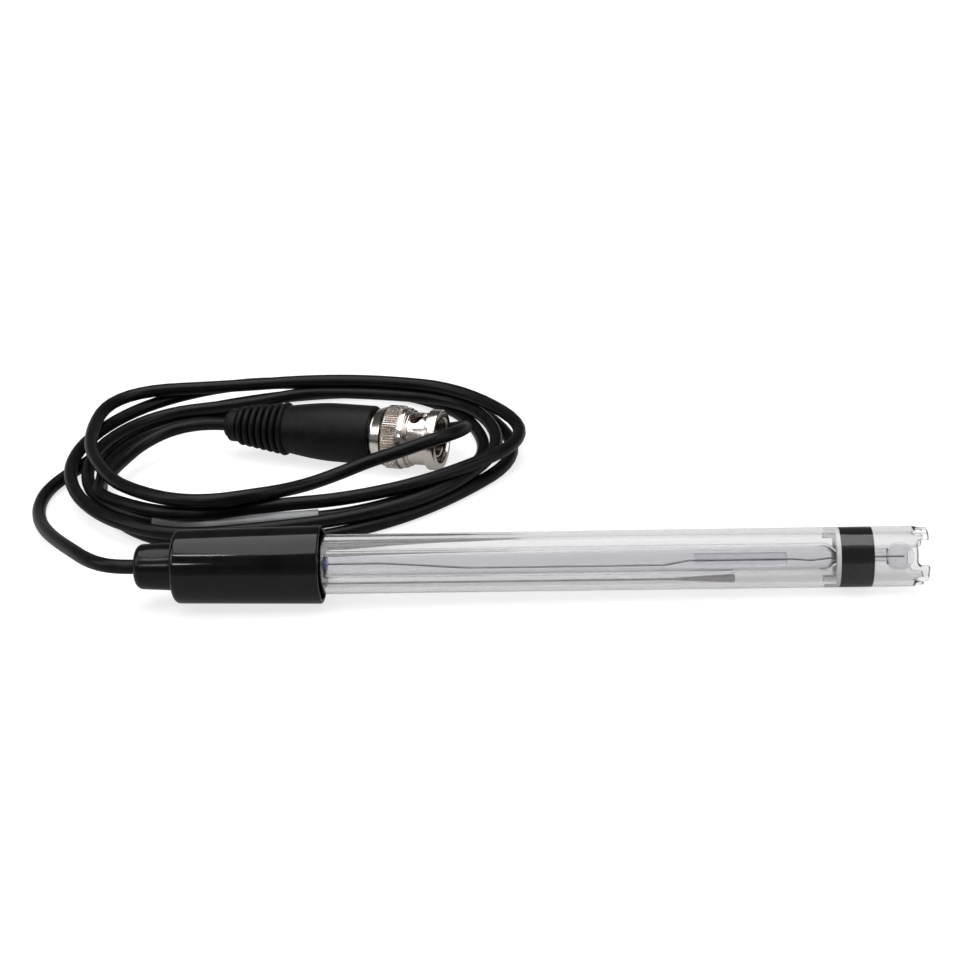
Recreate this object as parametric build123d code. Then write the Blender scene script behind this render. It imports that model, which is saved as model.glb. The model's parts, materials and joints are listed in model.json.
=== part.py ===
"""A combination pH electrode with a clear shaft, a moulded cap, a thin coaxial cable and a bayonet plug.

The electrode lies along +X with its sensing bulb at the +X end. It rests on the rim of its cap and on
the guard at its tip, with the surface at z = 0. The cable leaves the cap at the -X end, is laid in a
loose coil on the +Y side, and its plug lies inside that coil. Millimetres throughout.
"""
from build123d import *
from math import asin, cos, degrees, radians, sin, sqrt, tan
import os

os.makedirs("parts", exist_ok=True)

# Electrode: stations along its axis, from the outer end of the strain relief
relief_length = 8.0
cap_length = 30.0
shaft_length = 120.0
mouth = relief_length + cap_length
tip = mouth + shaft_length

# Cap
cap_end_radius = 7.55
cap_mouth_radius = 7.95
cap_end_wall = 2.0
cap_end_round = 1.2
rim_round = 0.35
recess_radius = 7.1
recess_depth = 3.0
tube_seat = 12.0
seat_step = 0.7
seat_past_mouth = 0.5

# Clear shaft
tube_radius = 6.0
tube_wall = 1.0
seat_grind = 0.3
crown_slot_depth = 2.3
crown_slot_width = 4.8
crown_slot_round = 0.8
crown_turn = -36.0
glue_gap = 0.05

# Blown glass
stem_radius = 2.9
stem_wall = 0.7
stem_in_stopper = 12.8
neck_radius = 1.6
neck_bore = 0.8
bulb_radius = 2.85
bulb_wall = 0.4
bulb_to_slots = 0.1
shoulder_length = 2.5

# Pieces inside the shaft, placed from the pieces that they sit against
seal_to_slots = 14.8
seal_length = 6.4
keeper_thickness = 0.8
keeper_lug_length = 2.2
keeper_lug_width = 3.4
keeper_radial = 1.6
stopper_length = 15.2
stopper_past_mouth = 0.45
lead_sleeve_radius = 1.2
lead_sleeve_showing = 0.4
wire_radius = 0.2
wire_sag = 1.3
element_radius = 1.4
element_to_seal = 9.3
element_length = 20.2
element_drop = 0.3
reference_radius = 0.95
reference_to_seal = 20.5
reference_length = 12.6
junction_radius = 0.5
junction_proud = 0.3

# Strain relief and the cable's end in the cap
relief_end_radius = 4.65
relief_root_radius = 4.95
relief_neck_radius = 2.8
relief_flange_radius = 4.4
relief_flange = 1.5
cable_radius = 1.5
core_radius = 0.95
conductor_radius = 0.3
core_bare = 3.0
conductor_bare = 2.0
conductor_to_potting = 0.6
potting_length = 4.1
potting_to_tube = 0.3

# Plug: stations along its axis, from the boot's tail
boot_length = 37.0
boot_tail_radius = 2.5
collar_radius = 3.85
collar_length = 3.3
rib_count = 7
rib_pitch = 1.77
rib_depth = 0.9
first_rib_radius = 4.3
last_rib_radius = 5.7
boot_belly_radius = 6.8
boot_belly = 28.0
boot_end_chamfer = 0.4
ferrule_radius = 2.6
ferrule_wall = 0.5
ferrule_start = 23.6
collar_cone_radius = 6.9
collar_step_radius = 6.2
collar_rear_radius = 5.4
collar_rear_length = 0.9
body_collar_length = 3.0
shank_radius = 4.25
shank_length = 5.7
insulator_radius = 3.4
contact_radius = 4.05
contact_wall = 0.5
contact_length = 6.6
contact_slot = 0.5
contact_slot_length = 4.5
pin_radius = 0.68
pin_front = 51.6

# Coupling sleeve and what it runs on
sleeve_gap = 0.3
knurl_radius = 7.3
knurl_length = 3.8
knurl_teeth = 44
knurl_depth = 0.32
smooth_radius = 7.0
smooth_length = 1.9
step_radius = 6.4
step_length = 0.8
sleeve_neck_radius = 6.0
sleeve_neck_length = 3.7
front_ring_radius = 6.95
front_ring_length = 2.6
sleeve_bore = 5.0
sleeve_flange = 2.0
running_gap = 0.1
washer_gap = 0.05
washer_thickness = 0.5
spring_height = 1.9
spring_thickness = 0.25
ring_thickness = 0.6
gasket_thickness = 1.2
bayonet_width = 2.3
bayonet_reach = 5.2
bayonet_ramp = 20.0
bayonet_turn = -86.0
groove_radius = 5.6

# Where the plug lies, and the cable's coil
plug_tail_x = -72.3
plug_tail_y = 71.1
plug_yaw = -13.8
plug_lift = 0.05
coil_height = 9.2
coil_outer_corner = 13.5
coil_inner_corner = 9.0
coil_edge = 2.8
lead_straight = 3.6
tail_straight = 5.6
label_length = 36.0
label_radius = 1.85
label_wall = 0.25
label_x = -82.0
label_y = 30.4
label_z = 3.8
label_yaw = -1.5

# The electrode tilts a little, because its cap is fatter than its shaft
tilt = asin((cap_mouth_radius - tube_radius) / shaft_length)
electrode_seat = Location(
    (-tip * cos(tilt) / 2, 0, cap_mouth_radius + mouth * sin(tilt)), (0, degrees(tilt), 0)
)
plug_seat = Location((plug_tail_x, plug_tail_y, knurl_radius + plug_lift), (0, 0, plug_yaw))

# Stations and radii that follow from the sizes above
tube_bore = tube_radius - tube_wall
seat_radius = tube_radius - seat_grind
cap_bore = seat_radius + glue_gap
chamber_radius = cap_bore - seat_step
tube_start = mouth - recess_depth - tube_seat
potting_start = tube_start - potting_to_tube - potting_length
conductor_end = potting_start - conductor_to_potting
core_end = conductor_end - conductor_bare
jacket_end = core_end - core_bare
stopper_end = mouth + stopper_past_mouth
stopper_start = stopper_end - stopper_length
stem_start = stopper_end - stem_in_stopper
lead_sleeve_end = stopper_end + lead_sleeve_showing
slot_root = tip - crown_slot_depth
bulb_centre = slot_root - bulb_to_slots - bulb_radius
seal_start = slot_root - seal_to_slots
neck_start = seal_start - 0.4
element_start = seal_start - element_to_seal - element_length
reference_start = seal_start - reference_to_seal - reference_length
annulus_radius = (stem_radius + tube_bore) / 2
reference_direction = 244.0
junction_direction = 60.0


def turned(outline, rounds=()):
    """Revolve a closed outline of (station, radius) points about X, with some corners rounded first."""
    face = make_face(Polyline(*outline, close=True))
    for corner, radius in rounds:
        nearest = face.vertices().sort_by_distance(Vector(corner[0], corner[1], 0))[0]
        face = fillet(nearest, radius)
    return revolve(face, Axis.X, 360)


def ring(start, end, outer, inner=0.0):
    """A plain ring, or a rod where inner is 0, from one station to another."""
    return turned([(start, inner), (start, outer), (end, outer), (end, inner)])


def around(solid, angle):
    """Turn a solid about the X axis."""
    return solid.rotate(Axis.X, angle)


def off_axis(solid, radius, angle):
    """Move a solid out from the axis and then turn it about the axis."""
    return around(solid.moved(Location((0, radius, 0))), angle)


def cord_radii(points):
    """One radius for each corner of a cord's route: 0.45 of the shorter run over the half turn's tangent."""
    radii = []
    for before, here, after in zip(points, points[1:], points[2:]):
        into = Vector(*here) - Vector(*before)
        out = Vector(*after) - Vector(*here)
        turn = radians(into.get_angle(out))
        radii.append(0.45 * min(into.length, out.length) / tan(turn / 2))
    return radii


def cord_tube(name, points):
    """A round cable swept along straight runs joined by tangent arcs."""
    radii = cord_radii(points)
    path = FilletPolyline(*points, radius=radii)
    section = Plane(origin=path @ 0, z_dir=path % 0) * Circle(cable_radius)
    tube = sweep(section, path=path)
    expected = 3.14159 * cable_radius ** 2 * path.length
    print(f"{name}: {path.length:.1f} mm, smallest radius {min(radii):.1f}, radii",
          [round(r, 1) for r in radii], f"volume share {tube.volume / expected:.4f}")
    return tube


# Cap and strain relief
def make_cap_shell():
    hole = relief_neck_radius + glue_gap
    inside = relief_length + cap_end_wall
    outline = [
        (relief_length, hole), (relief_length, cap_end_radius), (mouth, cap_mouth_radius),
        (mouth, recess_radius), (mouth - recess_depth, recess_radius), (mouth - recess_depth, cap_bore),
        (tube_start, cap_bore), (tube_start, chamber_radius), (inside, chamber_radius), (inside, hole),
    ]
    rounds = [
        ((relief_length, cap_end_radius), cap_end_round),
        ((mouth, cap_mouth_radius), rim_round),
        ((mouth, recess_radius), rim_round / 2),
    ]
    return turned(outline, rounds)


def make_strain_relief():
    hole = cable_radius + glue_gap
    wall = relief_length + cap_end_wall + glue_gap
    outline = [
        (0, hole), (0, relief_end_radius), (relief_length, relief_root_radius),
        (relief_length, relief_neck_radius), (wall, relief_neck_radius), (wall, relief_flange_radius),
        (wall + relief_flange, relief_flange_radius), (wall + relief_flange, hole),
    ]
    return turned(outline, [((0, relief_end_radius), 1.1), ((0, hole), 0.25)])


def make_cap_cable_end():
    return turned([
        (0, 0), (0, cable_radius), (jacket_end, cable_radius), (jacket_end, core_radius),
        (core_end, core_radius), (core_end, conductor_radius), (conductor_end, conductor_radius),
        (conductor_end, 0),
    ])


def make_potting_plug():
    outer = chamber_radius - glue_gap
    block = ring(potting_start, potting_start + potting_length, outer, wire_radius + glue_gap)
    passage = ring(potting_start - 1, potting_start + potting_length + 1, wire_radius + glue_gap)
    return block - off_axis(passage, annulus_radius, reference_direction)


# Clear shaft with its castellated guard, ground a little smaller where the cap holds it
def make_body_tube():
    seat_end = mouth + seat_past_mouth
    tube = turned([
        (tube_start, tube_bore), (tube_start, seat_radius), (seat_end, seat_radius),
        (seat_end, tube_radius), (tip, tube_radius), (tip, tube_bore),
    ])
    cutter = Box(2 * crown_slot_depth, crown_slot_width, 4 * tube_radius)
    roots = cutter.edges().filter_by(Axis.Z).group_by(Axis.X)[0]
    cutter = fillet(roots, crown_slot_round).moved(Location((tip, 0, 0)))
    for quarter in range(2):
        tube -= around(cutter, crown_turn + 90 * quarter)
    return tube


# The inner glass: one blown piece, from the stem through the neck to the bulb
def make_glass_stem():
    outer_join = bulb_centre - sqrt(bulb_radius ** 2 - neck_radius ** 2)
    inner_radius = bulb_radius - bulb_wall
    inner_join = bulb_centre - sqrt(inner_radius ** 2 - neck_bore ** 2)
    stem_bore = stem_radius - stem_wall
    taper_start = neck_start - shoulder_length
    outline = [
        Polyline((inner_join, neck_bore), (neck_start, neck_bore), (taper_start, stem_bore),
                 (stem_start, stem_bore), (stem_start, stem_radius), (taper_start, stem_radius),
                 (neck_start, neck_radius), (outer_join, neck_radius)),
        ThreePointArc((outer_join, neck_radius), (bulb_centre, bulb_radius),
                      (bulb_centre + bulb_radius, 0)),
        Line((bulb_centre + bulb_radius, 0), (bulb_centre + inner_radius, 0)),
        ThreePointArc((bulb_centre + inner_radius, 0), (bulb_centre, inner_radius),
                      (inner_join, neck_bore)),
    ]
    return revolve(make_face(outline), Axis.X, 360)


def make_measuring_wire():
    open_run = element_start - stopper_end
    points = [
        (conductor_end, 0, 0), (stopper_end + 0.16 * open_run, 0, 0),
        (stopper_end + 0.4 * open_run, 0, -wire_sag),
        (element_start - 5, 0, -wire_sag), (element_start, 0, -element_drop),
        (element_start + element_length, 0, -element_drop),
        (element_start + element_length + 4, 0, -wire_sag / 2), (neck_start, 0, 0),
        (bulb_centre + bulb_radius / 3, 0, 0),
    ]
    path = FilletPolyline(*points, radius=1.0)
    section = Plane(origin=path @ 0, z_dir=path % 0) * Circle(wire_radius)
    return sweep(section, path=path)


def make_element_sleeve():
    start = element_start + 1.0
    end = element_start + element_length - 1.0
    sleeve = ring(start, end, element_radius, wire_radius + glue_gap)
    return sleeve.moved(Location((0, 0, -element_drop)))


def make_lead_sleeve():
    return ring(stopper_start, lead_sleeve_end, lead_sleeve_radius, wire_radius + glue_gap)


def make_top_stopper():
    stem_hole = stem_radius + glue_gap
    sleeve_hole = lead_sleeve_radius + glue_gap
    outer = tube_bore - glue_gap
    stopper = turned([
        (stopper_start, sleeve_hole), (stopper_start, outer), (stopper_end, outer),
        (stopper_end, stem_hole), (stem_start - glue_gap, stem_hole), (stem_start - glue_gap, sleeve_hole),
    ])
    passage = ring(stopper_start - 1, stopper_end + 1, wire_radius + glue_gap)
    return stopper - off_axis(passage, annulus_radius, reference_direction)


def make_reference_wire():
    return off_axis(ring(conductor_end, reference_start, wire_radius), annulus_radius, reference_direction)


def make_reference_element():
    end = reference_start + reference_length
    return off_axis(ring(reference_start, end, reference_radius), annulus_radius, reference_direction)


def make_seal_plug():
    end = seal_start + seal_length
    plug = ring(seal_start, end, tube_bore - glue_gap, neck_radius + glue_gap)
    hole = ring(seal_start - 1, end + 1, junction_radius + glue_gap)
    return plug - off_axis(hole, (neck_radius + tube_bore) / 2, junction_direction)


def make_junction_pin():
    end = seal_start + seal_length + junction_proud
    pin = ring(seal_start + glue_gap, end, junction_radius)
    return off_axis(pin, (neck_radius + tube_bore) / 2, junction_direction)


def make_keeper_ring():
    outer = tube_bore - glue_gap
    face = seal_start - glue_gap
    keeper = ring(face - keeper_thickness, face, outer, outer - keeper_radial)
    lug_band = ring(face - keeper_thickness - keeper_lug_length, face - keeper_thickness / 2, outer,
                    outer - keeper_radial / 2)
    lug_window = Box(2 * keeper_lug_length, keeper_lug_width, 4 * tube_radius)
    lug_window = lug_window.moved(Location((face - keeper_thickness - keeper_lug_length / 2, 0, 0)))
    return keeper + around(lug_band & lug_window, reference_direction - 270)


# Plug
body_front = boot_length + body_collar_length + shank_length
sleeve_rear = boot_length + body_collar_length + sleeve_gap
sleeve_shoulder = sleeve_rear + sleeve_flange
sleeve_neck_start = sleeve_rear + knurl_length + smooth_length + step_length
front_ring_start = sleeve_neck_start + sleeve_neck_length
sleeve_front = front_ring_start + front_ring_length
washer_start = sleeve_shoulder + washer_gap
spring_start = washer_start + washer_thickness + washer_gap
ring_start = spring_start + spring_height + washer_gap
crimp_tube_radius = ferrule_radius - ferrule_wall - glue_gap


def make_plug_boot():
    hole = cable_radius + glue_gap
    chamber = ferrule_radius + glue_gap
    outer = [(0, hole), (0, boot_tail_radius), (collar_length / 3, collar_radius),
             (collar_length, collar_radius)]
    for index in range(rib_count):
        share = index / (rib_count - 1)
        radius = first_rib_radius + share * (last_rib_radius - first_rib_radius)
        start = collar_length + index * rib_pitch
        outer += [
            (start + 0.1 * rib_pitch, radius - rib_depth), (start + 0.35 * rib_pitch, radius - rib_depth),
            (start + 0.45 * rib_pitch, radius), (start + rib_pitch, radius),
        ]
    ribs_end = collar_length + rib_count * rib_pitch
    outline = [
        Polyline(*outer),
        ThreePointArc((ribs_end, last_rib_radius), ((ribs_end + boot_belly) / 2, boot_belly_radius - 0.3),
                      (boot_belly, boot_belly_radius)),
        Polyline((boot_belly, boot_belly_radius), (boot_length - boot_end_chamfer, boot_belly_radius),
                 (boot_length, boot_belly_radius - boot_end_chamfer), (boot_length, chamber),
                 (ferrule_start - glue_gap, chamber), (ferrule_start - glue_gap, hole), (0, hole)),
    ]
    return revolve(make_face(outline), Axis.X, 360)


def make_plug_cable_end():
    return turned([
        (0, 0), (0, cable_radius), (ferrule_start - glue_gap, cable_radius),
        (ferrule_start - glue_gap, core_radius), (boot_length, core_radius),
        (boot_length, conductor_radius), (boot_length + 2, conductor_radius), (boot_length + 2, 0),
    ])


def make_crimp_ferrule():
    return ring(ferrule_start, boot_length - glue_gap, ferrule_radius, ferrule_radius - ferrule_wall)


def make_plug_body():
    bore = core_radius + glue_gap
    insulator_seat = boot_length + body_collar_length
    seat = insulator_radius + glue_gap
    return turned([
        (ferrule_start + 1, bore), (ferrule_start + 1, crimp_tube_radius),
        (boot_length, crimp_tube_radius), (boot_length, collar_rear_radius),
        (boot_length + collar_rear_length, collar_rear_radius),
        (boot_length + collar_rear_length, collar_step_radius),
        (boot_length + body_collar_length, collar_cone_radius),
        (boot_length + body_collar_length, shank_radius), (body_front, shank_radius), (body_front, seat),
        (insulator_seat, seat), (insulator_seat, bore),
    ])


def make_insulator():
    start = boot_length + body_collar_length + glue_gap
    return ring(start, body_front + 1.5, insulator_radius, pin_radius + glue_gap)


def make_centre_pin():
    start = boot_length + 2 + glue_gap
    return turned([(start, 0), (start, pin_radius), (pin_front, pin_radius), (pin_front, 0)],
                  [((pin_front, pin_radius), 0.45)])


def make_outer_contact():
    end = body_front + contact_length
    shell = turned([
        (body_front, contact_radius - contact_wall), (body_front, contact_radius),
        (end, contact_radius), (end, contact_radius - contact_wall),
    ], [((end, contact_radius), 0.2)])
    slot = Box(2 * contact_slot_length, contact_slot, 3 * contact_radius).moved(Location((end, 0, 0)))
    for quarter in range(2):
        shell -= around(slot, 45 + 90 * quarter)
    return shell


def make_gasket():
    inner = contact_radius + glue_gap
    return ring(body_front + glue_gap, body_front + gasket_thickness, sleeve_bore - 0.25, inner)


def make_retaining_ring():
    return ring(ring_start, ring_start + ring_thickness, sleeve_bore - 0.15, shank_radius + 0.02)


def make_thrust_washer():
    return ring(washer_start, washer_start + washer_thickness, sleeve_bore - running_gap,
                shank_radius + running_gap)


def make_spring_washer():
    outer = sleeve_bore - 0.15
    rise = spring_height - spring_thickness
    bow = (outer ** 2 + rise ** 2) / (2 * rise)
    centre = Location((spring_start + bow, 0, 0))
    band = Cylinder(bow, 3 * outer) - Cylinder(bow - spring_thickness, 3 * outer)
    blank = ring(spring_start - 1, spring_start + spring_height, outer, shank_radius + running_gap)
    return blank & band.moved(centre)


def make_knurl():
    corners = []
    for index in range(2 * knurl_teeth):
        angle = radians(index * 180 / knurl_teeth)
        radius = knurl_radius - (index % 2) * knurl_depth
        corners.append((radius * cos(angle), radius * sin(angle)))
    face = make_face(Polyline(*corners, close=True))
    plane = Plane(origin=(sleeve_rear, 0, 0), x_dir=(0, 1, 0), z_dir=(1, 0, 0))
    return extrude(plane * face, knurl_length)


def make_coupling_sleeve():
    flange_bore = shank_radius + running_gap
    smooth_start = sleeve_rear + knurl_length
    sleeve = turned([
        (sleeve_rear, flange_bore), (sleeve_rear, knurl_radius - knurl_depth - 0.05),
        (smooth_start, knurl_radius - knurl_depth - 0.05), (smooth_start, smooth_radius),
        (smooth_start + smooth_length, smooth_radius), (smooth_start + smooth_length, step_radius),
        (sleeve_neck_start, step_radius), (sleeve_neck_start, sleeve_neck_radius),
        (front_ring_start, sleeve_neck_radius), (front_ring_start, front_ring_radius),
        (sleeve_front, front_ring_radius), (sleeve_front, sleeve_bore), (sleeve_shoulder, sleeve_bore),
        (sleeve_shoulder, flange_bore),
    ], [
        ((smooth_start + smooth_length, smooth_radius), 0.4),
        ((front_ring_start, front_ring_radius), 0.3),
        ((sleeve_front, front_ring_radius), 0.4),
    ])
    knurl = make_knurl() - ring(sleeve_rear - 1, sleeve_neck_start, knurl_radius - knurl_depth - 0.2)
    sleeve += knurl
    for side in (bayonet_turn, bayonet_turn + 180):
        sleeve -= around(make_bayonet_slot(), side)
    return sleeve


def make_bayonet_slot():
    """One cam slot through the neck's wall, with the straight groove that leads a stud into it."""
    middle = (sleeve_neck_start + front_ring_start) / 2
    reach = bayonet_reach - bayonet_width
    plane = Plane(origin=(middle, 0, 0), x_dir=(1, 0, 0), z_dir=(0, -1, 0))
    slot = extrude(plane * Rot(0, 0, 90 - bayonet_ramp) * SlotCenterToCenter(reach, bayonet_width),
                   2 * sleeve_neck_radius)
    entry_z = reach / 2 * cos(radians(bayonet_ramp))
    groove = Box(sleeve_front - middle + 1, 2 * groove_radius, bayonet_width)
    groove = groove.moved(Location(((middle + sleeve_front + 1) / 2, -groove_radius, entry_z)))
    bounds = ring(middle - 1, sleeve_front + 2, groove_radius)
    return slot + (groove & bounds)


# Cable: a lead from the cap, a coil, a stretch that crosses the coil, and the tail at the plug
nose = electrode_seat.position
nose_front = (electrode_seat * Pos(-lead_straight, 0, 0)).position
plug_tail = plug_seat.position
plug_back = (plug_seat * Pos(-tail_straight, 0, 0)).position

lead_points = [
    tuple(nose), tuple(nose_front), (-86.8, 1.5, 8.5), (-90.8, 5.0, 8.0), (-95.4, 11.1, 7.0),
    (-100.7, 18.7, 5.4), (-105.6, 27.0, 3.7), (-109.0, 34.6, 2.4), (-111.2, 42.4, 1.7),
    (-111.4, 50.4, 1.55), (-108.8, 58.0, 1.6), (-104.9, 65.0, 1.7),
]
crossing_points = [
    (-86.0, 84.0, 2.4), (-71.0, 82.8, 1.7), (-55.0, 79.4, 1.55), (-41.5, 76.6, 1.6), (-30.4, 74.2, 2.4),
    (-22.6, 70.8, 4.2), (-16.9, 66.4, 6.8), (-14.9, 60.0, 9.8), (-16.4, 52.6, 12.0), (-22.0, 47.0, 12.8),
    (-29.4, 45.4, 11.0), (-36.2, 45.6, 9.2), (-42.4, 42.8, 7.8), (-48.4, 38.4, 7.4), (-53.9, 33.2, 7.8),
    (-59.0, 28.0, 7.4),
]
tail_points = [
    (-96.4, 50.0, 4.6), (-95.2, 58.6, 4.7), (-92.0, 66.0, 5.4), (-86.0, 71.6, 6.4),
    tuple(plug_back), tuple(plug_tail),
]
coil_outside = [
    (-108.3, 42.0), (-108.3, 80.0), (-95.0, 96.0), (-57.0, 100.2), (-19.0, 94.5), (-1.7, 74.0),
    (-1.9, 55.0), (-17.0, 37.0), (-45.0, 21.5), (-86.0, 20.5),
]
coil_inside = [
    (-95.2, 52.0), (-95.2, 74.0), (-84.5, 85.0), (-58.0, 88.5), (-25.0, 85.5), (-14.0, 74.0),
    (-13.6, 59.0), (-25.5, 42.5), (-45.0, 33.8), (-80.0, 33.0),
]


def rounded_outline(corners, radius):
    face = make_face(Polyline(*corners, close=True))
    return fillet(face.vertices(), radius)


def make_cord_coil():
    band = extrude(rounded_outline(coil_outside, coil_outer_corner), coil_height)
    band -= extrude(rounded_outline(coil_inside, coil_inner_corner), coil_height)
    top = band.faces().sort_by(Axis.Z)[-1]
    return chamfer(top.edges(), coil_edge)


def make_cable_label():
    sleeve = ring(0, label_length, label_radius, label_radius - label_wall)
    return sleeve.moved(Location((label_x, label_y, label_z), (0, 0, label_yaw)))


electrode_pieces = {
    "cap_shell": make_cap_shell,
    "strain_relief": make_strain_relief,
    "cap_cable_end": make_cap_cable_end,
    "potting_plug": make_potting_plug,
    "body_tube": make_body_tube,
    "top_stopper": make_top_stopper,
    "lead_sleeve": make_lead_sleeve,
    "glass_stem": make_glass_stem,
    "measuring_wire": make_measuring_wire,
    "element_sleeve": make_element_sleeve,
    "reference_wire": make_reference_wire,
    "reference_element": make_reference_element,
    "keeper_ring": make_keeper_ring,
    "seal_plug": make_seal_plug,
    "junction_pin": make_junction_pin,
}
plug_pieces = {
    "plug_boot": make_plug_boot,
    "plug_cable_end": make_plug_cable_end,
    "crimp_ferrule": make_crimp_ferrule,
    "plug_body": make_plug_body,
    "insulator": make_insulator,
    "centre_pin": make_centre_pin,
    "outer_contact": make_outer_contact,
    "gasket": make_gasket,
    "retaining_ring": make_retaining_ring,
    "spring_washer": make_spring_washer,
    "thrust_washer": make_thrust_washer,
    "coupling_sleeve": make_coupling_sleeve,
}

for name, make in electrode_pieces.items():
    export_step(make().moved(electrode_seat), f"parts/{name}.step")
for name, make in plug_pieces.items():
    export_step(make().moved(plug_seat), f"parts/{name}.step")
export_step(cord_tube("cord_lead", lead_points), "parts/cord_lead.step")
export_step(cord_tube("cord_crossing", crossing_points), "parts/cord_crossing.step")
export_step(cord_tube("cord_tail", tail_points), "parts/cord_tail.step")
export_step(make_cord_coil(), "parts/cord_coil.step")
export_step(make_cable_label(), "parts/cable_label.step")
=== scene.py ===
"""The looks of a combination pH electrode: clear shaft, moulded cap, coiled coaxial cable and bayonet plug.

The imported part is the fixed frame. Stations along the electrode are counted from the outer end of its
strain relief, and stations along the plug from the boot's tail. Both are in millimetres, as in the part's
source.
"""
import json
import math

import bmesh
import bpy
from mathutils import Matrix, Vector


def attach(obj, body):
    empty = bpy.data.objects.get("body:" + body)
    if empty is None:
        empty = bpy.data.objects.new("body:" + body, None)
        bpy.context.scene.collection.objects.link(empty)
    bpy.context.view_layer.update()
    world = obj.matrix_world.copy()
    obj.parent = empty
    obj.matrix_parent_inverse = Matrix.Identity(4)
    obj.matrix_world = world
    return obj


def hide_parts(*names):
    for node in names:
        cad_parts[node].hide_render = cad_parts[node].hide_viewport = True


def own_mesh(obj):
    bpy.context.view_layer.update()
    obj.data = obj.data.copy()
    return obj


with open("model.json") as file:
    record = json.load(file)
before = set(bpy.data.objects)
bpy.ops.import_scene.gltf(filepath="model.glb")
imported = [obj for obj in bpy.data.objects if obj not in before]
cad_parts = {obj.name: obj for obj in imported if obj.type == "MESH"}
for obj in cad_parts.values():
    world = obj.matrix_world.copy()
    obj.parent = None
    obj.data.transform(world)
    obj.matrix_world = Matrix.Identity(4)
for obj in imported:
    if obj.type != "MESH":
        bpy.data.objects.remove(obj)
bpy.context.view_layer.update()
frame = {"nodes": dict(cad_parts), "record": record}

bl_info = {
    "name": "pH Electrode",
    "version": (1, 0, 0),
    "blender": (4, 5, 0),
    "location": "View3D > Sidebar > Electrode",
    "description": "Builds a clear-shafted pH electrode with its coiled cable and bayonet plug",
    "category": "Object",
}

MM = 0.001
SEGMENTS = 192
SHARP_ANGLE = math.radians(32)

# Electrode stations and radii, in millimetres
RELIEF = 8.0
MOUTH = 38.0
TIP = 158.0
SLOT_ROOT = 155.7
TUBE_START = 23.0
SEAT_END = 38.5
SEAT_RADIUS = 5.7
TUBE_RADIUS = 6.0
BONDED_BORE = 4.93
STEM_RADIUS = 2.9
BULB_RADIUS = 2.85
NECK_START = 140.5
STEM_START = 25.65
BULB_CENTRE = 152.75
REFERENCE_START = 107.8
REFERENCE_LENGTH = 12.6
REFERENCE_REACH = 3.95
REFERENCE_DIRECTION = math.radians(244)
CAP_END_RADIUS = 7.55
CAP_MOUTH_RADIUS = 7.95
RECESS_RADIUS = 7.1
RECESS_DEPTH = 3.0
TILT = math.asin((CAP_MOUTH_RADIUS - TUBE_RADIUS) / (TIP - MOUTH))
ELECTRODE_SEAT = Matrix.Translation(
    Vector((-TIP * math.cos(TILT) / 2, 0, CAP_MOUTH_RADIUS + MOUTH * math.sin(TILT))) * MM
) @ Matrix.Rotation(TILT, 4, "Y")

# Plug stations and radii, in millimetres
PLUG_TAIL = (-72.3, 71.1, 7.35)
PLUG_YAW = math.radians(-13.8)
PLUG_SEAT = Matrix.Translation(Vector(PLUG_TAIL) * MM) @ Matrix.Rotation(PLUG_YAW, 4, "Z")
BOOT_LENGTH = 37.0
SLEEVE_REAR = 40.3
KNURL_LENGTH = 3.8
COLLARS_LENGTH = 2.7
NECK_LENGTH = 3.7
NECK_RADIUS = 6.0
FRONT_RING_LENGTH = 2.6
FRONT_RING_RADIUS = 6.95

# The cable's route, in millimetres. Where it lies clear of the coil it follows the part's source.
CABLE_RADIUS = 1.5
LEAD_STRAIGHT = 3.6
TAIL_STRAIGHT = 5.6
LEAD_POINTS = [
    (-86.8, 1.5, 8.5), (-90.8, 5.0, 8.0), (-95.4, 11.1, 7.0), (-100.7, 18.7, 5.4), (-105.6, 27.0, 3.7),
    (-109.0, 34.6, 2.4), (-111.2, 42.4, 1.7), (-111.4, 50.4, 1.55), (-108.8, 58.0, 1.6), (-104.9, 65.0, 1.7),
]
CROSSING_POINTS = [
    (-41.5, 78.6, 1.6), (-30.4, 74.2, 2.4), (-22.6, 70.8, 4.2), (-16.9, 66.4, 6.8), (-14.9, 60.0, 9.8),
    (-16.4, 52.6, 12.0), (-22.0, 47.0, 12.8), (-29.4, 45.2, 11.0), (-36.2, 44.6, 9.2), (-42.4, 41.6, 7.9),
    (-48.4, 37.0, 7.8), (-53.9, 32.0, 8.8),
]
TAIL_POINTS = [
    (-98.0, 46.5, 4.8), (-96.8, 52.5, 4.6), (-95.2, 58.6, 4.7), (-92.0, 66.0, 5.4), (-86.0, 71.6, 6.4),
]

# Inside the coil's own solid: the last part turn that leads behind the boot, and the stretch over the coil
BEHIND_THE_BOOT = [
    (-101.2, 62.0, 1.55), (-98.8, 71.9, 1.55), (-94.0, 80.5, 1.55), (-84.8, 86.4, 1.55), (-72.0, 90.6, 1.55),
    (-59.0, 88.6, 1.55), (-49.5, 84.0, 1.55),
]
OVER_THE_COIL = [
    (-60.0, 28.2, 9.8), (-67.8, 26.0, 9.9), (-76.4, 27.2, 9.7), (-85.4, 32.6, 9.3), (-94.0, 40.6, 8.9),
]

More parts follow.
